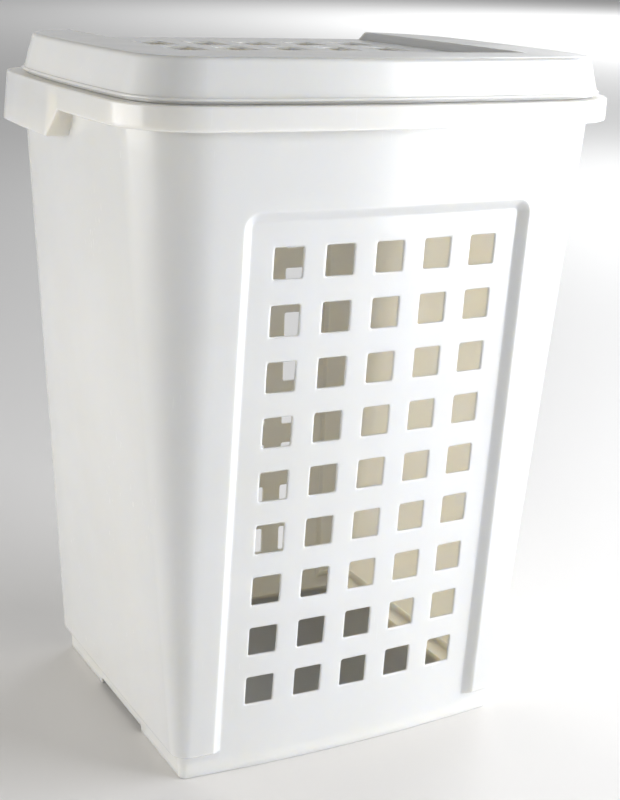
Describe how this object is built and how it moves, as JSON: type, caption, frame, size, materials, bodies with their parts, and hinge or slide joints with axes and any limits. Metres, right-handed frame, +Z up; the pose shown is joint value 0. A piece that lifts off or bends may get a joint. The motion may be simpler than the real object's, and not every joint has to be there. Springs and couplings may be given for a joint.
{
  "type": "laundry hamper with lid",
  "caption": "Tall tapered white plastic laundry hamper with perforated front and rear panels, a skirted rim to grip, and a lift-off lid with a slotted tray top.",
  "frame": {"origin": "on the floor, under the middle of the hamper", "axes": "+Z up, the perforated front panel faces -Y, +X to the right seen from the front"},
  "size_m": [0.452, 0.345, 0.5815],
  "materials": {
    "tub_plastic": "glossy white moulded polypropylene",
    "lid_plastic": "glossy white moulded polypropylene"
  },
  "bodies": {
    "tub": {"tub": "tub_plastic"},
    "lid": {"lid": "lid_plastic"}
  },
  "joints": [
    {"name": "lid_lift", "type": "slide", "parent": "tub", "child": "lid", "axis": [0, 0, 1], "range_m": [0, 0.15]}
  ]
}
